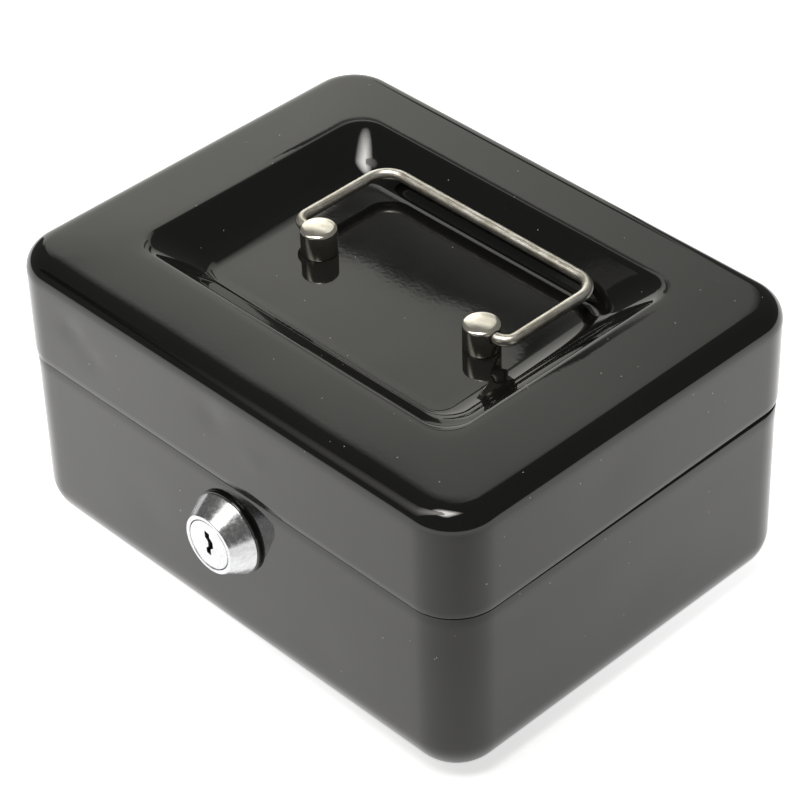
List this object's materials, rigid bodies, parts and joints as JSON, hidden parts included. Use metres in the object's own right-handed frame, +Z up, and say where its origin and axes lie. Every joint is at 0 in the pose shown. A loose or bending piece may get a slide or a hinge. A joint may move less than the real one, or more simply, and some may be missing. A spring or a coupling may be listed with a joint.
{
  "type": "cash box",
  "caption": "Small black steel cash box: hinged lid with a dished top and folding wire handle, key-operated cam lock in the front, and a lift-out coin tray.",
  "frame": {"origin": "centre of the flat bottom of the base", "axes": "+X along the front to the right seen from the front, -Y out of the front with the lock, +Z up"},
  "size_m": [0.152, 0.1272, 0.08],
  "materials": {
    "black_enamel": "gloss",
    "nickel_plate": "polished nickel plate",
    "lock_chrome": "bright plate",
    "zinc_steel": "zinc plated",
    "wafer_brass": "plain",
    "tray_plastic": "fine grain"
  },
  "bodies": {
    "base": {"base_shell": "black_enamel", "hinge_base_leaf_left": "zinc_steel", "hinge_base_leaf_right": "zinc_steel", "hinge_pin_left": "zinc_steel", "hinge_pin_right": "zinc_steel", "hinge_base_rivets": "zinc_steel", "lock_housing": "lock_chrome", "lock_trim_ring": "tray_plastic", "lock_washer": "zinc_steel", "lock_nut": "zinc_steel"},
    "lid": {"lid_shell": "black_enamel", "hinge_lid_leaf_left": "zinc_steel", "hinge_lid_leaf_right": "zinc_steel", "hinge_lid_rivets": "zinc_steel", "strike_plate": "zinc_steel", "handle_post_left": "nickel_plate", "handle_post_right": "nickel_plate", "handle_post_washers": "zinc_steel", "handle_post_screws": "zinc_steel"},
    "key_plug": {"lock_plug": "lock_chrome", "lock_wafers": "wafer_brass", "lock_cam": "zinc_steel", "cam_washer": "zinc_steel", "cam_screw": "zinc_steel"},
    "handle": {"handle_bail": "nickel_plate"},
    "tray": {"coin_tray": "tray_plastic"}
  },
  "joints": [
    {"name": "lid_hinge", "type": "hinge", "parent": "base", "child": "lid", "pos_m": [0, 0.0605, 0.0517], "axis": [-1, 0, 0], "range_deg": [0, 100]},
    {"name": "handle_swing", "type": "hinge", "parent": "lid", "child": "handle", "pos_m": [0, 0, 0.077], "axis": [1, 0, 0], "range_deg": [0, 175]},
    {"name": "key_turn", "type": "hinge", "parent": "base", "child": "key_plug", "pos_m": [0.0015, -0.0581, 0.036], "axis": [0, 1, 0], "range_deg": [0, 90]},
    {"name": "tray_lift", "type": "slide", "parent": "base", "child": "tray", "axis": [0, 0, 1], "range_m": [0, 0.01]}
  ]
}
